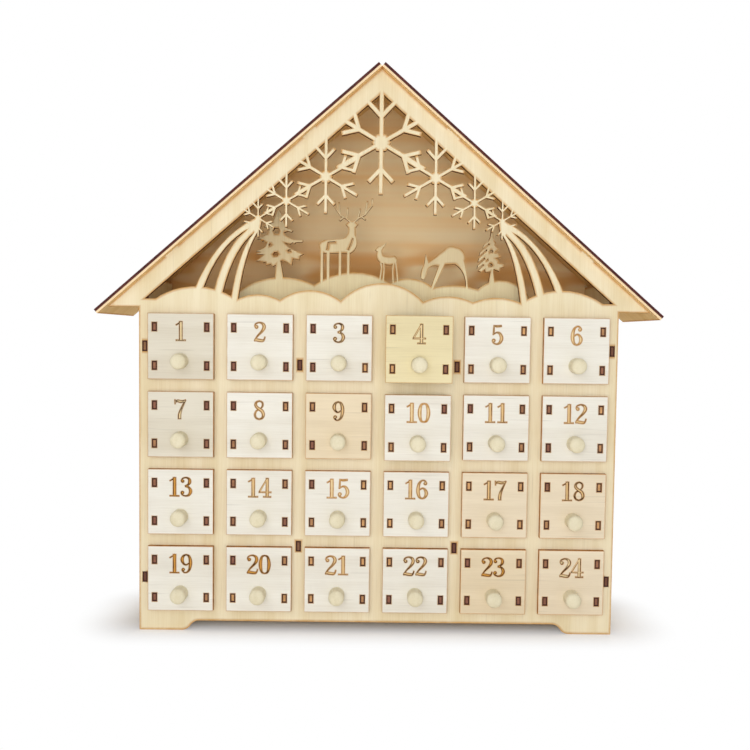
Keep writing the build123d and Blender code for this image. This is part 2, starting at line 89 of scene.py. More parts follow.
class Wire:
    """An output of a node. Arithmetic with it adds Math nodes to the same tree."""

    def __init__(self, tree, socket=None):
        self.tree = tree
        self.socket = socket

    def node(self, kind, settings=None, sockets=None, out=0):
        """Adds a node, with its settings first and then its sockets, and returns one of its outputs."""
        made = self.tree.nodes.new(kind)
        for key, value in (settings or {}).items():
            setattr(made, key, value)
        for key, value in (sockets or {}).items():
            named = [s for s in made.inputs if s.enabled and s.name == key]
            into = made.inputs[key] if isinstance(key, int) else named[0]
            for one in value if isinstance(value, list) else [value]:
                if isinstance(one, Wire):
                    one.feed(into)
                else:
                    into.default_value = one
        outs = [s for s in made.outputs if s.enabled]
        if not outs:
            return self
        chosen = outs[out] if isinstance(out, int) else next(s for s in outs if s.name == out)
        return Wire(self.tree, chosen)

    def feed(self, socket):
        """Links this wire to a socket of a node that is there already."""
        self.tree.links.new(self.socket, socket)

    def maths(self, operation, *others):
        """One Math node, with this wire as its first value."""
        return self.node("ShaderNodeMath", {"operation": operation}, dict(enumerate([self, *others])))

    def __add__(self, other):
        return self.maths("ADD", other)

    def __sub__(self, other):
        return self.maths("SUBTRACT", other)

    def __rsub__(self, other):
        return (self * -1.0).maths("ADD", other)

    def __mul__(self, other):
        return self.maths("MULTIPLY", other)

    def __truediv__(self, other):
        return self.maths("DIVIDE", other)

    __radd__ = __add__
    __rmul__ = __mul__

    def step(self, low, high):
        """Rises smoothly from 0 at low to 1 at high."""
        return self.node(
            "ShaderNodeMapRange",
            {"interpolation_type": "SMOOTHSTEP"},
            {"Value": self, "From Min": low, "From Max": high},
        )

    def mix(self, first, second, how="MIX"):
        """The first colour where this is 0 and the second where it is 1."""
        return self.node(
            "ShaderNodeMix",
            {"data_type": "RGBA", "blend_type": how},
            {"Factor": self, "A": first, "B": second},
        )

    def noise(self, where, stretch, scale, detail=3.0):
        """Cloudy noise, drawn out along the grain."""
        mapped = self.node("ShaderNodeMapping", None, {"Vector": where, "Scale": stretch})
        return self.node(
            "ShaderNodeTexNoise", None, {"Vector": mapped, "Scale": scale, "Detail": detail}
        )

    def attribute(self, name, out="Fac"):
        """A value that the mesh carries on its corners or faces."""
        return self.node("ShaderNodeAttribute", {"attribute_name": name}, out=out)

    def part(self, axis):
        """The X, Y or Z of a vector."""
        return self.node("ShaderNodeSeparateXYZ", None, {"Vector": self}, axis)


def new_finish(name):
    """An empty material, with its shader and a wire to start from."""
    material = bpy.data.materials.new(name)
    material.use_nodes = True
    return material, material.node_tree.nodes["Principled BSDF"], Wire(material.node_tree)


def bare_ply(name, pale, dark, grain, figure=0.6, char=(CHAR_LIGHT, CHAR_DARK), dress=None, place=None):
    """Bare plywood: fibres, soft figure and flecks, smoke along the cuts and char on the cut faces.

    dress changes the colours of the wood and the cut edges, and place gives other coordinates.
    """
    material, shader, start = new_finish(name)
    where = place(start) if place else start.node("ShaderNodeTexCoord", out="Object")
    fibre = start.noise(where, grain, FIBRES, 4)
    bands = start.noise(where, grain, BANDS, 2)
    clouds = start.noise(where, NO_GRAIN, CLOUDS, 3)
    fleck = start.noise(where, grain, FLECKS, 2).step(0.63, 0.74)
    shade = bands.step(0.3, 0.75) * figure + fibre.step(0.3, 0.8) * 0.3 + clouds.step(0.4, 0.8) * 0.25
    wood = shade.mix(paint(*pale), paint(*dark))
    wood = (fleck * 0.3).mix(wood, paint(*[FLECK_SHADE * value for value in dark]))
    wavering = start.noise(where, NO_GRAIN, WAVES, 3)
    streaks = start.noise(where, NO_GRAIN, STREAKS, 3)
    charring = wavering.step(0.3, 0.72) * 0.55 + streaks.step(0.3, 0.7) * 0.45
    edge = charring.mix(paint(*char[0]), paint(*char[1]))
    core = start.attribute("core")
    end_tone = start.noise(where, NO_GRAIN, END_TONES, 1).step(0.38, 0.62)
    core_colour = end_tone.mix(paint(*END_CORE_PALE), paint(*END_CORE_DARK))
    edge = core.step(0.2, 0.4).mix(edge, paint(*END_RING))
    edge = (core.step(0.75, 1.0) * (1 - charring * 0.4)).mix(edge, core_colour)
    smoke = start.attribute("scorch").step(0.0, 1.1) * (wavering.step(0.2, 0.7) * 0.3 + 0.7)
    wood = smoke.mix(wood, paint(*SMOKE))
    if dress:
        wood, edge = dress(start, where, wood, edge)
    burn = start.attribute("burn")
    burn.step(0.7, 0.8).mix(wood, edge).feed(shader.inputs["Base Color"])
    (0.62 + fibre * 0.2 + burn * 0.1).feed(shader.inputs["Roughness"])
    shader.inputs["Specular IOR Level"].default_value = DULL
    relief = {"Strength": 0.25, "Distance": GRAIN_RELIEF, "Height": fibre + bands * 0.5}
    start.node("ShaderNodeBump", None, relief).feed(shader.inputs["Normal"])
    return material


def new_sheet():
    """An empty mesh to edit, with a burn value on its faces and scorch and core values on its corners."""
    bm = bmesh.new()
    bm.faces.layers.float.new("burn")
    bm.verts.layers.float.new("scorch")
    bm.verts.layers.float.new("core")
    return bm


def like_faces(bm, kind):
    """The faces of one kind, grouped by the plane that they lie in."""
    burn = bm.faces.layers.float["burn"]
    planes = []
    for face in bm.faces:
        if abs(face[burn] - kind) < SAME_KIND:
            height = face.normal.dot(face.verts[0].co)
            for normal, level, faces in planes:
                if normal.dot(face.normal) > SAME_WAY and abs(level - height) < SAME_PLANE:
                    faces.append(face)
                    break
            else:
                planes.append((face.normal.copy(), height, [face]))
    return planes


def borders_of(faces):
    """The corners along each border of some faces, with the faces on the left."""
    chosen = set(faces)
    follow = {}
    for face in faces:
        for loop in face.loops:
            if sum(neighbour in chosen for neighbour in loop.edge.link_faces) == 1:
                follow[loop.vert] = loop.link_loop_next.vert
    borders = []
    while follow:
        corner = next(iter(follow))
        borders.append([])
        while corner in follow:
            borders[-1].append(corner)
            corner = follow.pop(corner)
    return borders


def room(walls, spot, way):
    """How far a strip may reach from its border: a share of the way to the opposite wall."""
    found = walls.ray_cast(spot + way * PROBE_SKIP, way)[3]
    return STRIP_SHARE * (found + PROBE_SKIP) if found else inf


def strip_reaches(border, normal, width, walls, under):
    """From each corner of a border to the inner side of its strip, narrower where the faces are narrow."""
    inward, widths = [], []
    for corner, after in zip(border, border[1:] + border[:1]):
        inward.append(normal.cross(after.co - corner.co).normalized())
        middle = (corner.co + after.co) / 2 - normal * under
        widths.append(min(width, room(walls, middle, inward[-1])))
    reaches = []
    for index, corner in enumerate(border):
        one, other = inward[index - 1], inward[index]
        near, far = widths[index - 1], widths[index]
        turn = one.dot(other)
        if 1 - turn * turn < STRAIGHT_ON:
            reach = (one + other).normalized() * min(near, far)
        else:
            reach = (one * (near - turn * far) + other * (far - turn * near)) / (1 - turn * turn)
        way = reach.normalized()
        most = min(STRIP_REACH * max(near, far), room(walls, corner.co - normal * under, way))
        reaches.append(way * min(reach.length, most))
    return reaches


def fill(bm, kind, normal, level, borders, insides):
    """Fills a plane inside its borders with triangles, which keep to the borders and the insides."""
    burn = bm.faces.layers.float["burn"]
    across = normal.orthogonal().normalized()
    along = normal.cross(across)
    corners = [corner for outline in borders + insides for corner in outline]
    flat = [Vector((corner.co.dot(across), corner.co.dot(along))) / MM for corner in corners]
    number = {corner: index for index, corner in enumerate(corners)}
    rings = []
    for outline in borders + insides:
        drawn = [flat[number[corner]] for corner in outline]
        area = sum(one.cross(other) for one, other in zip(drawn, drawn[1:] + drawn[:1]))
        rings.append([number[corner] for corner in (outline if area > 0 else outline[::-1])])
    spots, _, triangles, sources, _, covers = delaunay_2d_cdt(flat, [], rings, 1, FILL_SLACK)
    placed = [
        corners[source[0]] if source
        else bm.verts.new((across * spot.x + along * spot.y) * MM + normal * level)
        for spot, source in zip(spots, sources)
    ]
    for triangle, cover in zip(triangles, covers):
        if sum(outline < len(borders) for outline in cover) % 2:
            bm.faces.new([placed[index] for index in triangle])[burn] = kind


def close_seams(bm):
    """Divides open edges at the corners that lie on them, joins them there and drops loose corners."""
    open_edges = [edge for edge in bm.edges if edge.is_boundary]
    corners = {corner for edge in open_edges for corner in edge.verts}
    joins = {}
    for edge in open_edges:
        first, last = edge.verts
        along = last.co - first.co
        on_edge = []
        for corner in corners - {first, last}:
            share = (corner.co - first.co).dot(along) / along.length_squared
            if 0 < share < 1 and (first.co + along * share - corner.co).length < WELD:
                on_edge.append((share, corner))
        reached = 0
        for share, corner in sorted(on_edge, key=lambda found: found[0]):
            _, first = bmesh.utils.edge_split(edge, first, (share - reached) / (1 - reached))
            joins[first] = corner
            reached = share
    bmesh.ops.weld_verts(bm, targetmap=joins)
    bmesh.ops.triangulate(bm, faces=bm.faces)
    bmesh.ops.delete(bm, geom=[v for v in bm.verts if not v.link_faces], context="VERTS")


def ring(bm, kind, width, under):
    """Fills all faces of one kind anew, with a strip along their borders.

    Returns the corners on the inner side of the strips, with their distances from the borders.
    """
    walls = BVHTree.FromBMesh(bm)
    inner_corners = []
    for normal, level, faces in like_faces(bm, kind):
        borders = borders_of(faces)
        bmesh.ops.delete(bm, geom=faces, context="FACES")
        insides = []
        for border in borders:
            reaches = strip_reaches(border, normal, width, walls, under)
            insides.append([bm.verts.new(corner.co + reach) for corner, reach in zip(border, reaches)])
            inner_corners += zip(insides[-1], [reach.length for reach in reaches])
        fill(bm, kind, normal, level, borders, insides)
    return inner_corners


def stain_cuts(bm, width):
    """Rings the broad faces of a sheet with a stained strip, and stains narrow limbs right across."""
    scorch = bm.verts.layers.float["scorch"]
    for corner in bm.verts:
        corner[scorch] = 1
    for corner, reach in ring(bm, BROAD, width, PROBE_DEPTH):
        corner[scorch] = max(0, 1 - reach / NARROW_SMOKE)


def laser_cut(node):
    """A copy of a CAD sheet, with its corners merged, its cuts stained and its tabs' ends burnt."""
    bm = new_sheet()
    bm.from_mesh(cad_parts[node].data)
    bmesh.ops.remove_doubles(bm, verts=bm.verts, dist=WELD)
    burn = bm.faces.layers.float["burn"]
    core = bm.verts.layers.float["core"]
    areas = Counter()
    facing = {}
    for face in bm.faces:
        facing[face] = tuple(round(abs(share), 2) for share in face.normal)
        areas[facing[face]] += face.calc_area()
    broad = areas.most_common(1)[0][0]
    limits = [corner.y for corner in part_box(node)]
    for face in bm.faces:
        outermost = min(abs(face.verts[0].co.y - limit) for limit in limits) < WELD
        tab_end = node in TABBED and outermost and facing[face] == (0, 1, 0)
        face[burn] = BROAD if facing[face] == broad else TAB_END if tab_end else CUT
        if tab_end:
            for corner in face.verts:
                corner[core] = END_EDGE
    stain_cuts(bm, SMOKE_RIM)
    for corner, _ in ring(bm, TAB_END, END_RIM, PROBE_DEPTH):
        corner[core] = END_CORE
    close_seams(bm)
    mesh = bpy.data.meshes.new(node + "_sheet")
    bm.to_mesh(mesh)
    bm.free()
    if "custom_normal" in mesh.attributes:
        mesh.attributes.remove(mesh.attributes["custom_normal"])
    mesh.shade_flat()
    return mesh


def show(name, mesh, finish, body, slot, *nodes):
    """Puts a finished mesh on its body, in place of its CAD nodes."""
    mesh.materials.clear()
    mesh.materials.append(finish)
    piece = bpy.data.objects.new(name, mesh)
    bpy.context.scene.collection.objects.link(piece)
    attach(piece, body)
    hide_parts(*nodes)


board_ply = bare_ply("board_ply", INNER_PALE, INNER_DARK, LEVEL_GRAIN)
for board in ("base_board", "shelves", "loft_floor"):
    show(board + "_sheet", laser_cut(board), board_ply, "case", "inner_ply", board)
upright_ply = bare_ply("upright_ply", INNER_PALE, INNER_DARK, UPRIGHT_GRAIN)
for upright in ("tabbed_dividers", "plain_dividers"):
    show(upright + "_sheet", laser_cut(upright), upright_ply, "case", "inner_ply", upright)

# Side walls and front panel: pale cream plywood with upright grain, glued together at their tabs. The
# front is one sheet with windows, snow hills, snowflakes and the tails of shooting stars cut in it.
PANEL_PALE = (244, 232, 200)
PANEL_DARK = (226, 207, 162)

panel_ply = bare_ply("panel_ply", PANEL_PALE, PANEL_DARK, UPRIGHT_GRAIN, figure=0.5)
for sheet in ("left_wall", "right_wall", "front_panel"):
    show(sheet + "_sheet", laser_cut(sheet), panel_ply, "case", "case_ply", sheet)

# Back panel: a closed sheet of the house's outline, tabbed and glued like the front. Its inner side, which
# shows through the gable's fretwork, is painted browner than its outer one as painted shade, with level
# bands of grain.
BACK_PALE = (240, 226, 190)
BACK_DARK = (222, 201, 156)
# painted shade: colours of the inner side, browner as it looks in the gable's shade
SHADED_INSIDE_PALE = (246, 227, 184)
SHADED_INSIDE_DARK = (243, 204, 144)
CORNER_SHADE_TINT = (234, 200, 158)  # painted shade: tint of the brown patches low in the gable
CORNER_SHADE_HIGH = (0.225, 0.255)  # they fade out over these heights
CORNER_SHADE_DRAWN = (0.4, 1, 1)  # and are drawn out along the grain
CORNER_SHADE_OUT = (0.03, 0.11)  # towards the left they join up, between these distances from the middle
CORNER_SHADE_PATCHES = 55  # in features to the metre
# depth from the inner face over which the painted shade gives way to the outer colours
SHADE_BLEND_DEPTH = 0.5 * MM


def back_dress(start, where, wood, edge):
    """Paints shade on the inner side: a browner colour, with darker patches low in the gable."""
    out, back, high = [where.part(axis) for axis in "XYZ"]
    bands = start.noise(where, LEVEL_GRAIN, BANDS, 2).step(0.3, 0.75)
    shaded_inside = bands.mix(paint(*SHADED_INSIDE_PALE), paint(*SHADED_INSIDE_DARK))
    aside = (0 - out).step(*CORNER_SHADE_OUT) * 0.5
    shade_patches = start.noise(where, CORNER_SHADE_DRAWN, CORNER_SHADE_PATCHES, 1).step(0.4, 0.58) + aside
    shaded_inside = (shade_patches * (1 - high.step(*CORNER_SHADE_HIGH))).mix(shaded_inside, paint(*CORNER_SHADE_TINT), "MULTIPLY")
    inner_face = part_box("back_panel")[0].y
    return back.step(inner_face, inner_face + SHADE_BLEND_DEPTH).mix(shaded_inside, wood), edge


back_ply = bare_ply("back_ply", BACK_PALE, BACK_DARK, LEVEL_GRAIN, dress=back_dress)
show("back_panel_sheet", laser_cut("back_panel"), back_ply, "case", "back_ply", "back_panel")

# Scene panel: hills, firs and deer cut by the laser from one thin sheet with upright grain. It stands in
# slots of the loft floor, a little way behind the fretwork. Its figures above the hills are coloured
# darker than the hills.
SCENE_PALE = (245, 233, 191)
SCENE_DARK = (222, 201, 155)
FIGURES_FROM = (0.216, 0.230)  # heights over which the hills end and the figures begin
FIGURES_TINT = (235, 228, 223)


def scene_dress(start, where, wood, edge):
    """Browns the figures that stand on the hills."""
    return where.part("Z").step(*FIGURES_FROM).mix(wood, paint(*FIGURES_TINT), "MULTIPLY"), edge


scene_ply = bare_ply("scene_ply", SCENE_PALE, SCENE_DARK, UPRIGHT_GRAIN, figure=0.5, dress=scene_dress)
show("scene_panel_sheet", laser_cut("scene_panel"), scene_ply, "case", "scene_ply", "scene_panel")

# Roof boards: square-cut sheets over the tabs of both gables. The grain runs down the slope, and on
# their edges the laser's exit side is charred far darker than its entry side.
ROOF_PITCH = radians(41.2)
ROOF_CHAR_LIGHT = (100, 50, 42)
ROOF_CHAR_DARK = (56, 24, 26)
ROOF_EDGE_PALE = (250, 222, 178)
UNDERSIDE_SHADE = (255, 232, 194)  # painted shade: tint of the underside
PALE_EDGE = 1.3 * MM  # pale part of an edge, above the underside
EDGE_BLUR = 0.2 * MM
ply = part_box("front_panel")[1].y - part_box("front_panel")[0].y
ridge_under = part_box("front_panel")[1].z


def vector(start, x=0.0, y=0.0, z=0.0):
    return start.node("ShaderNodeCombineXYZ", None, {"X": x, "Y": y, "Z": z})


def slope_place(start):
    """A place as the distance down the slope, the distance back and the height above the underside."""
    spot = start.node("ShaderNodeTexCoord", out="Object")
    x, y, z = [spot.part(axis) for axis in "XYZ"]
    out = x.maths("ABSOLUTE")
    down = out * cos(ROOF_PITCH) - z * sin(ROOF_PITCH)
    above = (z - ridge_under) * cos(ROOF_PITCH) + out * sin(ROOF_PITCH)
    return vector(start, down, y, above)


def roof_dress(start, where, wood, edge):
    """Leaves the lower part of the edges pale, and paints shade on the underside as a darker tint."""
    exit_side = where.part("Z").step(PALE_EDGE - EDGE_BLUR, PALE_EDGE + EDGE_BLUR)
    wood = (1 - exit_side).mix(wood, paint(*UNDERSIDE_SHADE), "MULTIPLY")
    return wood, exit_side.mix(paint(*ROOF_EDGE_PALE), edge)


roof_ply = bare_ply(
    "roof_ply", PANEL_PALE, PANEL_DARK, LEVEL_GRAIN, char=(ROOF_CHAR_LIGHT, ROOF_CHAR_DARK),
    dress=roof_dress, place=slope_place,
)
for board in ("left_roof_board", "right_roof_board"):
    show(board + "_sheet", laser_cut(board), roof_ply, "case", "roof_ply", board)

# Drawer trays: two sides with tenons that come through the front plate, a back and a bottom, glued.
# They are alike, so one tree of nodes makes them all.
DRAWER_COUNT = 24
DRAWER_PALE = (244, 241, 232)
DRAWER_DARK = (224, 217, 203)
DRAWER_CHAR_LIGHT = (200, 136, 62)
DRAWER_CHAR_DARK = (122, 74, 34)
TRAY_WIDTH = 34.7 * MM
TRAY_HEIGHT = 34.7 * MM
TENON_HEIGHT = 5.4 * MM
TENON_PITCH = 23.4 * MM
TENON_SUNK = 0.25 * MM  # tenon's end behind the face of the front plate
TENON_BITE = 1.0 * MM  # overlap of a tenon's block with its side, before they are joined
TENON_TIP = 0.9  # share of a tenon's reach past which a corner is on its end
TENON_CORE = {"X": 0.36, "Z": 0.6}  # share of a tenon's end that the laser left paler, across and up
GLUE_LINE = 0.05 * MM
FLOOR_PALE, FLOOR_GOLD = (245, 226, 178), (210, 146, 52)  # floor of an engraved figure
OUTLINE_LIGHT, OUTLINE_DARK = (198, 142, 66), (48, 22, 6)  # and its burnt outline
BURN_PATCHES, BURN_SPECKS = 170, 420  # how uneven the burn is, in features to the metre
WHITE_WOOD = (255, 255, 253)
CREAM_WOOD = (252, 240, 220)
YELLOW_WOOD = (250, 240, 202)
TAN_WOOD = (250, 236, 211)
GREY_WOOD = (240, 236, 226)
ODD_WOODS = {
    1: GREY_WOOD, 4: YELLOW_WOOD, 7: GREY_WOOD, 9: TAN_WOOD, 17: CREAM_WOOD, 18: CREAM_WOOD, 23: TAN_WOOD,
    24: CREAM_WOOD,
}


def drawer_dress(start, where, wood, edge):
    """Tints each drawer's own wood, and colours the engraved figures by how hard they were burnt."""
    wood = start.node(
        "ShaderNodeMix",
        {"data_type": "RGBA", "blend_type": "MULTIPLY"},
        {"Factor": 1.0, "A": wood, "B": start.attribute("tint", "Color")},
    )
    floor_colour = start.attribute("gold").mix(paint(*FLOOR_PALE), paint(*FLOOR_GOLD))
    uneven = start.noise(where, NO_GRAIN, BURN_PATCHES, 2).step(0.35, 0.62) * 0.7 + 0.65
    darkness = start.attribute("ink") * uneven
    outline_colour = darkness.mix(paint(*OUTLINE_LIGHT), paint(*OUTLINE_DARK))
    specked = start.noise(where, NO_GRAIN, BURN_SPECKS, 3).step(0.25, 0.7) * 0.35 + 0.65
    groove = (start.attribute("scorch").step(0.0, 0.3) * specked).mix(floor_colour, outline_colour)
    return start.attribute("burn").step(0.2, 0.3).mix(wood, groove), edge


drawer_ply = bare_ply(
    "drawer_ply", DRAWER_PALE, DRAWER_DARK, LEVEL_GRAIN, figure=0.5,
    char=(DRAWER_CHAR_LIGHT, DRAWER_CHAR_DARK), dress=drawer_dress,
)


def node_tree(name, inputs):
    """An empty geometry tree with named inputs, a wire to start from and the wires of the inputs."""
    tree = bpy.data.node_groups.new(name, "GeometryNodeTree")
    for label, kind in inputs.items():
        tree.interface.new_socket(label, in_out="INPUT", socket_type="NodeSocket" + kind)
    tree.interface.new_socket("Geometry", in_out="OUTPUT", socket_type="NodeSocketGeometry")
    entry = tree.nodes.new("NodeGroupInput")
    wires = {label: Wire(tree, entry.outputs[label]) for label in inputs}
    return tree, Wire(tree), wires


def end_tree(start, geometry, finish):
    """Ends a tree in real geometry with its finish."""
    whole = start.node("GeometryNodeRealizeInstances", None, {"Geometry": geometry})
    dressed = start.node("GeometryNodeSetMaterial", None, {"Geometry": whole, "Material": finish})
    start.node("NodeGroupOutput", None, {"Geometry": dressed})


def grown(tree, **values):
    """The plain mesh that a tree makes from these inputs."""
    seed = bpy.data.objects.new("seed", bpy.data.meshes.new("seed"))
    bpy.context.scene.collection.objects.link(seed)
    modifier = seed.modifiers.new("grow", "NODES")
    modifier.node_group = tree
    for item in tree.interface.items_tree:
        key = item.name.lower().replace(" ", "_")
        if item.in_out == "INPUT" and key in values:
            modifier[item.identifier] = values[key]
    bpy.context.view_layer.update()
    mesh = bpy.data.meshes.new_from_object(seed.evaluated_get(bpy.context.evaluated_depsgraph_get()))
    bpy.data.objects.remove(seed)
    return mesh


def moved(start, geometry, **place):
    shift = vector(start, **place)
    return start.node("GeometryNodeTransform", None, {"Geometry": geometry, "Translation": shift})


def block(start, **size):
    return start.node("GeometryNodeMeshCube", None, {"Size": vector(start, **size)}, "Mesh")


def stored(start, geometry, name, value, kind="FLOAT", domain="POINT"):
    """A shape that carries a named value, for its finish to read."""
    return start.node(
        "GeometryNodeStoreNamedAttribute",
        {"data_type": kind, "domain": domain},
        {"Geometry": geometry, "Name": name, "Value": value},
    )


def mark_block_cuts(start, geometry, axis):
    """Marks the faces of a sheet that don't face along its thin axis as cut."""
    normal = start.node("GeometryNodeInputNormal", out="Normal")
    cut = normal.part(axis).maths("ABSOLUTE").maths("LESS_THAN", 0.5)
    return stored(start, geometry, "burn", cut, domain="FACE")


def pair(start, geometry, **apart):
    """Two copies of a shape, on both sides of the origin."""
    first = vector(start, **{axis: value * -0.5 for axis, value in apart.items()})
    ends = {"Count": 2, "Start Location": first, "Offset": vector(start, **apart)}
    line = start.node("GeometryNodeMeshLine", None, ends)
    copies = start.node("GeometryNodeInstanceOnPoints", None, {"Points": line, "Instance": geometry})
    return start.node("GeometryNodeRealizeInstances", None, {"Geometry": copies})


tray_inputs = {
    "Width": "Float", "Height": "Float", "Length": "Float", "Sheet": "Float", "Tenon Height": "Float",
    "Tenon Pitch": "Float", "Tenon Reach": "Float", "Place": "Vector", "Tint": "Color",
}
tray_tree, start, size = node_tree("drawer_tray", tray_inputs)
side = block(start, x=size["Sheet"], y=size["Length"], z=size["Height"])
side = moved(start, side, y=size["Length"] * 0.5)
tenon = block(start, x=size["Sheet"], y=size["Tenon Reach"] + TENON_BITE, z=size["Tenon Height"])
tenons = pair(start, tenon, z=size["Tenon Pitch"])
tenons = moved(start, tenons, y=(TENON_BITE - size["Tenon Reach"]) * 0.5)
joined_side = start.node(
    "GeometryNodeMeshBoolean", {"operation": "UNION", "solver": "EXACT"}, {"Mesh": [side, tenons]}, "Mesh"
)
y = start.node("GeometryNodeInputPosition", out="Position").part("Y")
at_end = (y / size["Tenon Reach"]).maths("LESS_THAN", -TENON_TIP)
ringed = {"Mesh": joined_side, "Selection": at_end, "Offset Scale": 0.0}
core_face = start.node("GeometryNodeExtrudeMesh", {"mode": "FACES"}, ringed, "Top")
ended_side = Wire(tray_tree, core_face.socket.node.outputs["Mesh"])
for axis, share in TENON_CORE.items():
    ended_side = start.node(
        "GeometryNodeScaleElements",
        {"domain": "FACE", "scale_mode": "SINGLE_AXIS"},
        {"Geometry": ended_side, "Selection": core_face, "Scale": share,
         "Axis": tuple(float(axis == other) for other in "XYZ")},
    )
ended_side = stored(start, ended_side, "core", at_end * END_EDGE + core_face * (1 - END_EDGE))
sides = pair(start, mark_block_cuts(start, ended_side, "X"), x=size["Width"] - size["Sheet"])
inside = size["Width"] - size["Sheet"] * 2 - 2 * GLUE_LINE
back = block(start, x=inside, y=size["Sheet"], z=size["Height"])
back = moved(start, back, y=size["Length"] - size["Sheet"] * 0.5)
before_back = size["Length"] - size["Sheet"]
bottom = block(start, x=inside, y=before_back - 2 * GLUE_LINE, z=size["Sheet"])
bottom = moved(start, bottom, y=before_back * 0.5, z=(size["Sheet"] - size["Height"]) * 0.5)
tray = start.node(
    "GeometryNodeJoinGeometry",
    None,
    {"Geometry": [sides, mark_block_cuts(start, back, "Y"), mark_block_cuts(start, bottom, "Z")]},
)
tray = start.node("GeometryNodeTransform", None, {"Geometry": tray, "Translation": size["Place"]})
end_tree(start, stored(start, tray, "tint", size["Tint"], "FLOAT_COLOR"), drawer_ply)


def drawer_place(number):
    """The middle of a drawer's front plate, on its face."""
    low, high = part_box(f"drawer_{number:02d}")
    return Vector(((low.x + high.x) / 2, low.y, (low.z + high.z) / 2))


for number in range(1, DRAWER_COUNT + 1):
    node = f"drawer_{number:02d}"
    low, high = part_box(node)
    mesh = grown(
        tray_tree, width=TRAY_WIDTH, height=TRAY_HEIGHT, length=high.y - low.y - ply, sheet=ply,
        tenon_height=TENON_HEIGHT, tenon_pitch=TENON_PITCH, tenon_reach=ply - TENON_SUNK,
        place=drawer_place(number) + Vector((0, ply, 0)), tint=paint(*ODD_WOODS.get(number, WHITE_WOOD)),
    )
    show(f"drawer_tray_{number:02d}", mesh, drawer_ply, node, "drawer_ply", node)

# Drawer fronts: square plates with four slots for the tenons, and the day's number engraved by the
# laser in old-style book figures, with a burnt outline round a golden floor.
SLOT_GAP = 0.1 * MM  # round a tenon in its slot
NUMERAL_HEIGHT = 12.0 * MM
NUMERAL_RISE = 9.3 * MM  # middle of the figures above the middle of the plate
NUMERAL_STEP = 0.62  # from one figure to the next, in heights
NUMERAL_WIDEN = 1.16  # stretch of the figures across, with their strokes as they are
NUMERAL_INDENT = 0.04  # from a figure's own left limit to its strokes, in heights
NUMERAL_DEPTH = 0.5 * MM
NUMERAL_RIM = 0.6 * MM
PLATE_RIM = 0.55 * MM  # stained strip along the cuts of a plate
USUAL_BURN = (0.4, 0.5)  # gold of a figure's floor and darkness of its outline, which may pass 1
BURNS = {
    (0.15, 0.1): (6, 10, 15),
    (0.2, 1.7): (1, 4, 7, 24),
    (0.5, 1.1): (3, 9, 17, 18, 22),
    (0.95, 1.0): (13, 19, 20, 23),
}
CURVE_STEPS = 6
BALL_POINTS = 14
# Pen strokes in figure heights: each point is a place across, a place up and the stroke's width there
STROKES = {
    "0": (
        ((.31, .97, .05), (.17, .88, .10), (.11, .50, .16), (.17, .12, .10), (.31, .03, .05)),
        ((.29, .97, .05), (.43, .88, .10), (.49, .50, .16), (.43, .12, .10), (.29, .03, .05)),
    ),
    "1": (
        ((.31, .0, .16), (.31, .985, .16)),
        ((.10, .80, .05), (.20, .86, .06), (.33, .975, .06)),
        ((.10, .03, .06), (.52, .03, .06)),
    ),
    "2": (
        ((.08, .77, .06), (.12, .90, .06), (.28, .97, .06), (.44, .89, .12), (.48, .73, .15),
         (.39, .53, .11), (.20, .29, .07), (.08, .08, .06)),
        ((.06, .05, .05), (.15, .09, .13), (.29, .07, .14), (.42, .06, .12), (.49, .13, .06),
         (.52, .25, .05)),
    ),
    "3": (
        ((.07, .80, .05), (.13, .92, .06), (.28, .97, .06), (.41, .90, .11), (.44, .76, .14),
         (.38, .61, .10), (.24, .535, .06)),
        ((.24, .525, .06), (.40, .47, .10), (.48, .28, .15), (.41, .09, .11), (.26, .03, .06),
         (.12, .09, .06), (.06, .20, .05)),
    ),
    "4": (
        ((.40, .985, .06), (.05, .29, .06)),
        ((.02, .27, .06), (.57, .27, .06)),
        ((.39, .0, .14), (.39, .985, .14)),
        ((.22, .03, .06), (.56, .03, .06)),
    ),
    "5": (
        ((.11, .94, .08), (.28, .93, .10), (.46, .95, .08)),
        ((.14, .98, .06), (.11, .50, .06)),
        ((.10, .51, .05), (.24, .61, .06), (.39, .56, .11), (.47, .33, .15), (.40, .11, .11),
         (.26, .03, .06), (.12, .10, .06), (.07, .21, .05)),
    ),
    "6": (
        ((.49, .82, .05), (.41, .94, .06), (.29, .96, .06), (.16, .80, .11), (.11, .44, .16),
         (.17, .13, .11), (.31, .03, .06)),
        ((.29, .03, .06), (.42, .11, .10), (.48, .30, .15), (.42, .49, .10), (.30, .565, .06),
         (.16, .46, .05)),
    ),
    "7": (
        ((.07, .76, .05), (.06, .985, .05)),
        ((.07, .86, .06), (.17, .92, .12), (.30, .89, .13), (.42, .90, .11), (.53, .97, .05)),
        ((.51, .96, .06), (.41, .70, .08), (.30, .40, .12), (.26, .18, .15), (.26, .0, .15)),
    ),
    "8": (
        ((.30, .97, .06), (.17, .90, .09), (.13, .76, .12), (.20, .63, .13), (.31, .54, .14)),
        ((.28, .97, .06), (.41, .90, .07), (.44, .76, .08), (.39, .63, .06), (.28, .53, .06)),
        ((.28, .56, .14), (.41, .45, .15), (.47, .27, .14), (.42, .10, .09), (.28, .03, .06)),
        ((.31, .55, .06), (.17, .46, .07), (.10, .27, .09), (.16, .10, .08), (.30, .03, .06)),
    ),
}
# Round ends of the curved figures: a place across, a place up and a radius
BALLS = {
    "2": ((.15, .75, .085),),
    "3": ((.13, .79, .08), (.12, .20, .085)),
    "5": ((.13, .21, .085),),
    "6": ((.43, .81, .08),),
}
# A nine is a six turned about its middle
TURNED = {"9": ("6", (.295, .5))}


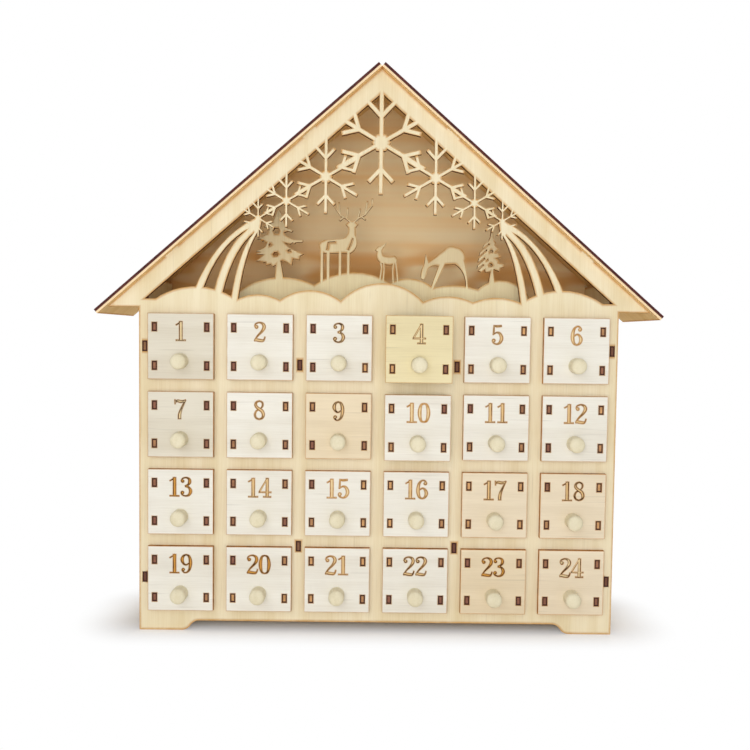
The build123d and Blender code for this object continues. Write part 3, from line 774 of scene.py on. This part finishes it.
def smooth_stroke(points):
    """Pen points with rounded stretches between them."""
    points = [Vector(point) for point in points]
    if len(points) == 2:
        return points
    ends = [points[0] * 2 - points[1], *points, points[-1] * 2 - points[-2]]
    drawn = []
    for before, near, far, after in zip(ends, ends[1:], ends[2:], ends[3:]):
        for step in range(CURVE_STEPS):
            t = step / CURVE_STEPS
            drawn.append(
                (
                    near * 2 + (far - before) * t + (before * 2 - near * 5 + far * 4 - after) * t * t
                    + (near * 3 - before - far * 3 + after) * t * t * t
                ) / 2
            )
    return [*drawn, points[-1]]


def stroke_outline(points):
    """The outline of a pen stroke, on both sides of its line."""
    line = smooth_stroke([(x * NUMERAL_WIDEN, z, width) for x, z, width in points])
    left, right = [], []
    for index, point in enumerate(line):
        along = (line[min(index + 1, len(line) - 1)] - line[max(index - 1, 0)]).to_2d().normalized()
        off = Vector((-along.y, along.x)) * point.z / 2
        left.append(point.to_2d() + off)
        right.append(point.to_2d() - off)
    return right + left[::-1]


def figure_outlines(figure):
    """All outlines of one figure, in figure heights."""
    source, middle = TURNED.get(figure, (figure, None))
    outlines = [stroke_outline(stroke) for stroke in STROKES[source]]
    for x, z, radius in BALLS.get(source, ()):
        turns = [2 * pi * step / BALL_POINTS for step in range(BALL_POINTS)]
        across = x * NUMERAL_WIDEN
        outlines.append([Vector((across + radius * cos(turn), z + radius * sin(turn))) for turn in turns])
    if middle:
        turned_about = Vector((middle[0] * NUMERAL_WIDEN, middle[1]))
        outlines = [[turned_about * 2 - corner for corner in outline] for outline in outlines]
    return outlines


def rectangle(x, z, width, height):
    """The corners of a rectangle about its middle."""
    sides = ((-1, -1), (1, -1), (1, 1), (-1, 1))
    return [Vector((x + sx * width / 2, z + sz * height / 2)) for sx, sz in sides]


def plate_outlines(number):
    """The outlines of a plate, of its slots and of its number's strokes, about the plate's middle."""
    low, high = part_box(f"drawer_{number:02d}")
    slot_size = ply + 2 * SLOT_GAP, TENON_HEIGHT + 2 * SLOT_GAP
    slots = [
        rectangle(sx * (TRAY_WIDTH - ply) / 2, sz * TENON_PITCH / 2, *slot_size)
        for sx in (-1, 1) for sz in (-1, 1)
    ]
    figures = str(number)
    rise = Vector((0, NUMERAL_RISE))
    strokes = []
    for index, figure in enumerate(figures):
        shift = Vector(((index - len(figures) / 2) * NUMERAL_STEP - NUMERAL_INDENT, -0.5))
        for outline in figure_outlines(figure):
            strokes.append([(corner + shift) * NUMERAL_HEIGHT + rise for corner in outline])
    return rectangle(0, 0, high.x - low.x, high.z - low.z), slots, strokes


def plate_mesh(number):
    """A front plate with its slots and its engraved number."""
    plate, slots, strokes = plate_outlines(number)
    corners, rings = [], []
    for outline in (plate, *slots, *strokes):
        rings.append(list(range(len(corners), len(corners) + len(outline))))
        corners += [corner / MM for corner in outline]
    flat, _, faces, _, _, inside = delaunay_2d_cdt(corners, [], rings, 1, FILL_SLACK)
    middle = drawer_place(number)
    bm = new_sheet()
    tint = bm.verts.layers.float_color.new("tint")
    gold, ink = [bm.verts.layers.float.new(name) for name in ("gold", "ink")]

    def layer(depth):
        return [bm.verts.new((middle.x + c.x * MM, middle.y + depth, middle.z + c.y * MM)) for c in flat]

    face_side, floor_side, back_side = layer(0), layer(NUMERAL_DEPTH), layer(ply)
    first_stroke = 1 + len(slots)
    edges = {}
    burn = bm.faces.layers.float["burn"]
    scorch = bm.verts.layers.float["scorch"]
    for corners_of, covers in zip(faces, inside):
        if any(0 < cover < first_stroke for cover in covers):
            continue
        cut_in = any(cover >= first_stroke for cover in covers)
        seen = bm.faces.new([(floor_side if cut_in else face_side)[i] for i in corners_of])
        seen[burn] = GROOVE if cut_in else BROAD
        bm.faces.new([back_side[i] for i in reversed(corners_of)])[burn] = BROAD
        for a, b in zip(corners_of, [*corners_of[1:], corners_of[0]]):
            edges.setdefault(frozenset((a, b)), []).append(cut_in)
    for edge, sides_of in edges.items():
        a, b = edge
        if len(sides_of) == 1:
            bm.faces.new((face_side[a], face_side[b], back_side[b], back_side[a]))[burn] = CUT
        elif sides_of[0] != sides_of[1]:
            bm.faces.new((face_side[a], face_side[b], floor_side[b], floor_side[a]))[burn] = CUT
    bmesh.ops.recalc_face_normals(bm, faces=bm.faces)
    stain_cuts(bm, PLATE_RIM)
    for corner, reach in ring(bm, GROOVE, NUMERAL_RIM, -PROBE_DEPTH):
        corner[scorch] = max(0, 1 - reach / NARROW_SMOKE)
    close_seams(bm)
    burnt = next((burns for burns, numbers in BURNS.items() if number in numbers), USUAL_BURN)
    for corner in bm.verts:
        corner[tint] = paint(*ODD_WOODS.get(number, WHITE_WOOD))
        corner[gold], corner[ink] = burnt
    mesh = bpy.data.meshes.new(f"drawer_front_{number:02d}")
    bm.to_mesh(mesh)
    bm.free()
    return mesh


for number in range(1, DRAWER_COUNT + 1):
    node = f"drawer_{number:02d}"
    show(f"drawer_front_{number:02d}", plate_mesh(number), drawer_ply, node, "drawer_ply", node)

# Knobs: short lengths of pale turned wood with a rounded front edge and a slightly crowned face, glued
# on below the number. One tree of nodes turns them all.
KNOB_RADIUS = 4.75 * MM
KNOB_ROUNDING = 2.0 * MM
KNOB_CROWN = 0.35 * MM
KNOB_SIDES = 48
KNOB_RINGS = 24
KNOB_FACE_RINGS = 6
KNOB_PALE = (233, 224, 194)
KNOB_DARK = (222, 211, 176)
KNOB_GRAIN = (1, 0.08, 1)  # along the knob, from front to back
KNOB_GROWTH = (1, 0.08, 0.5)  # and its growth rings, also drawn out upwards
KNOB_FIBRES, KNOB_BANDS = 1300, 260  # in features to the metre
KNOB_RELIEF = 0.05 * MM

knob_wood, shader, start = new_finish("knob_wood")
spot = start.attribute("turned", "Vector")
grain = start.noise(spot, KNOB_GRAIN, KNOB_FIBRES, 3)
growth = start.noise(spot, KNOB_GROWTH, KNOB_BANDS, 2)
shade = grain.step(0.35, 0.75) * 0.45 + growth.step(0.35, 0.7) * 0.5
shade.mix(paint(*KNOB_PALE), paint(*KNOB_DARK)).feed(shader.inputs["Base Color"])
(0.5 + grain * 0.2).feed(shader.inputs["Roughness"])
relief = start.node("ShaderNodeBump", None, {"Strength": 0.2, "Distance": KNOB_RELIEF, "Height": grain})
relief.feed(shader.inputs["Normal"])

knob_inputs = {
    "Radius": "Float", "Length": "Float", "Rounding": "Float", "Crown": "Float", "Place": "Vector",
}
knob_tree, start, size = node_tree("turned_knob", knob_inputs)
blank = start.node(
    "GeometryNodeMeshCylinder",
    {"fill_type": "NGON"},
    {"Vertices": KNOB_SIDES, "Side Segments": KNOB_RINGS, "Fill Segments": KNOB_FACE_RINGS,
     "Radius": size["Radius"], "Depth": size["Length"]},
    "Mesh",
)
at = start.node("GeometryNodeInputPosition", out="Position")
x, y, z = [at.part(axis) for axis in "XYZ"]
into_round = ((z - size["Length"] * 0.5) / size["Rounding"] + 1).maths("MAXIMUM", 0.0)
turned_in = 1 - size["Rounding"] / size["Radius"] * (1 - (1 - into_round * into_round).maths("SQRT"))
out_share = (x * x + y * y).maths("SQRT") / size["Radius"] * turned_in
crowned = z - size["Crown"] * out_share * out_share * into_round
shaped = start.node(
    "GeometryNodeSetPosition",
    None,
    {"Geometry": blank, "Position": vector(start, x=x * turned_in, y=y * turned_in, z=crowned)},
)
faced = start.node("GeometryNodeTransform", None, {"Geometry": shaped, "Rotation": (pi / 2, 0, 0)})
in_wood = start.node("ShaderNodeVectorMath", {"operation": "ADD"}, {0: at, 1: size["Place"]})
marked = stored(start, faced, "turned", in_wood, "FLOAT_VECTOR")
placed = start.node("GeometryNodeTransform", None, {"Geometry": marked, "Translation": size["Place"]})
end_tree(start, start.node("GeometryNodeSetShadeSmooth", None, {"Geometry": placed}), knob_wood)
for number in range(1, DRAWER_COUNT + 1):
    node = f"knob_{number:02d}"
    low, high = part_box(node)
    mesh = grown(
        knob_tree, radius=KNOB_RADIUS, length=high.y - low.y, rounding=KNOB_ROUNDING, crown=KNOB_CROWN,
        place=(low + high) / 2,
    )
    show(f"turned_knob_{number:02d}", mesh, knob_wood, f"drawer_{number:02d}", "knob_wood", node)

# Table, light and camera: a white table, soft lamps above to the left, beside the camera and behind,
# and a camera a step in front of the house, just above its middle.
FLOOR_SIZE = 8.0
FLOOR_WHITE = (252, 249, 247)
SHADOW_INSET = 0.02  # from here under the house, the table's shade begins to fade
PAPER_FROM = 0.05  # and from here on it is plain white paper
SKY_LIGHT = 0.4
STUDIO_LIGHTS = (  # name, place, width and watts
    ("key_light", (-0.6, -1.3, 0.9), 0.8, 3.6),
    ("front_light", (-0.03, -0.85, 0.19), 0.45, 2.9),
    ("back_light", (0.35, 1.2, 1.0), 0.9, 8.0),
)
LIT_POINT = (0, 0, 0.17)  # all lamps face it
FOCAL_PIXELS = 820
IMAGE_PIXELS = 750
SENSOR = 36.0
CAMERA_AT = (-3.8 * MM, -524.4 * MM, 184.0 * MM)
CAMERA_YAW = radians(-0.2)
CAMERA_DOWN = radians(2.8)
CAMERA_ROLL = radians(0.71)


def seen_directly(start):
    """1 for what the camera sees, straight on or in a reflection, and 0 for light on the object."""
    rays = ("Is Camera Ray", "Is Glossy Ray", "Is Transmission Ray")
    camera_ray, glossy_ray, clear_ray = [start.node("ShaderNodeLightPath", out=ray) for ray in rays]
    return camera_ray.maths("MAXIMUM", glossy_ray).maths("MAXIMUM", clear_ray)


floor_mesh = bpy.data.meshes.new("table_top")
floor_corners = [(corner.x, corner.y, 0) for corner in rectangle(0, 0, FLOOR_SIZE, FLOOR_SIZE)]
floor_mesh.from_pydata(floor_corners, [], [(0, 1, 2, 3)])
table_white, shader, start = new_finish("table_white")
shader.inputs["Base Color"].default_value = paint(*FLOOR_WHITE)
shader.inputs["Roughness"].default_value = 0.9
spot = start.node("ShaderNodeTexCoord", out="Object")
across, back = [spot.part(axis) for axis in "XY"]
foot_front, foot_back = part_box("front_panel")[0].y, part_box("back_panel")[1].y
aside = (across.maths("ABSOLUTE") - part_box("right_wall")[1].x).maths("MAXIMUM", 0.0)
off_middle = (back - (foot_front + foot_back) / 2).maths("ABSOLUTE")
beyond = (off_middle - (foot_back - foot_front) / 2 + SHADOW_INSET).maths("MAXIMUM", 0.0)
reach = (aside * aside + beyond * beyond).maths("SQRT")
shaded = Wire(start.tree, shader.outputs[0])
paper = start.node("ShaderNodeEmission", None, {"Color": (1, 1, 1, 1), "Strength": 1.0})
white_share = seen_directly(start) * reach.step(0.0, PAPER_FROM)
blended = start.node("ShaderNodeMixShader", None, {0: white_share, 1: shaded, 2: paper})
blended.feed(start.tree.nodes["Material Output"].inputs["Surface"])
floor_mesh.materials.append(table_white)
table_top = bpy.data.objects.new("table_top", floor_mesh)
bpy.context.scene.collection.objects.link(table_top)

world = bpy.data.worlds.new("studio")
bpy.context.scene.world = world
world.use_nodes = True
sky = world.node_tree.nodes["Background"]
start = Wire(world.node_tree)
sky.inputs["Color"].default_value = (1, 1, 1, 1)
(seen_directly(start) * (1 - SKY_LIGHT) + SKY_LIGHT).feed(sky.inputs["Strength"])

for name, place, width, power in STUDIO_LIGHTS:
    lamp = bpy.data.lights.new(name, "AREA")
    lamp.size = width
    lamp.energy = power
    light = bpy.data.objects.new(name, lamp)
    light.location = place
    light.rotation_euler = (Vector(LIT_POINT) - Vector(place)).to_track_quat("-Z", "Y").to_euler()
    bpy.context.scene.collection.objects.link(light)

camera = bpy.data.objects.new("camera", bpy.data.cameras.new("camera"))
camera.data.sensor_width = SENSOR
camera.data.lens = FOCAL_PIXELS / IMAGE_PIXELS * SENSOR
camera.matrix_world = (
    Matrix.Translation(CAMERA_AT)
    @ Matrix.Rotation(CAMERA_YAW, 4, "Z")
    @ Matrix.Rotation(pi / 2 - CAMERA_DOWN, 4, "X")
    @ Matrix.Rotation(CAMERA_ROLL, 4, "Z")
)
bpy.context.scene.collection.objects.link(camera)
bpy.context.scene.camera = camera
bpy.context.scene.view_settings.view_transform = "Standard"
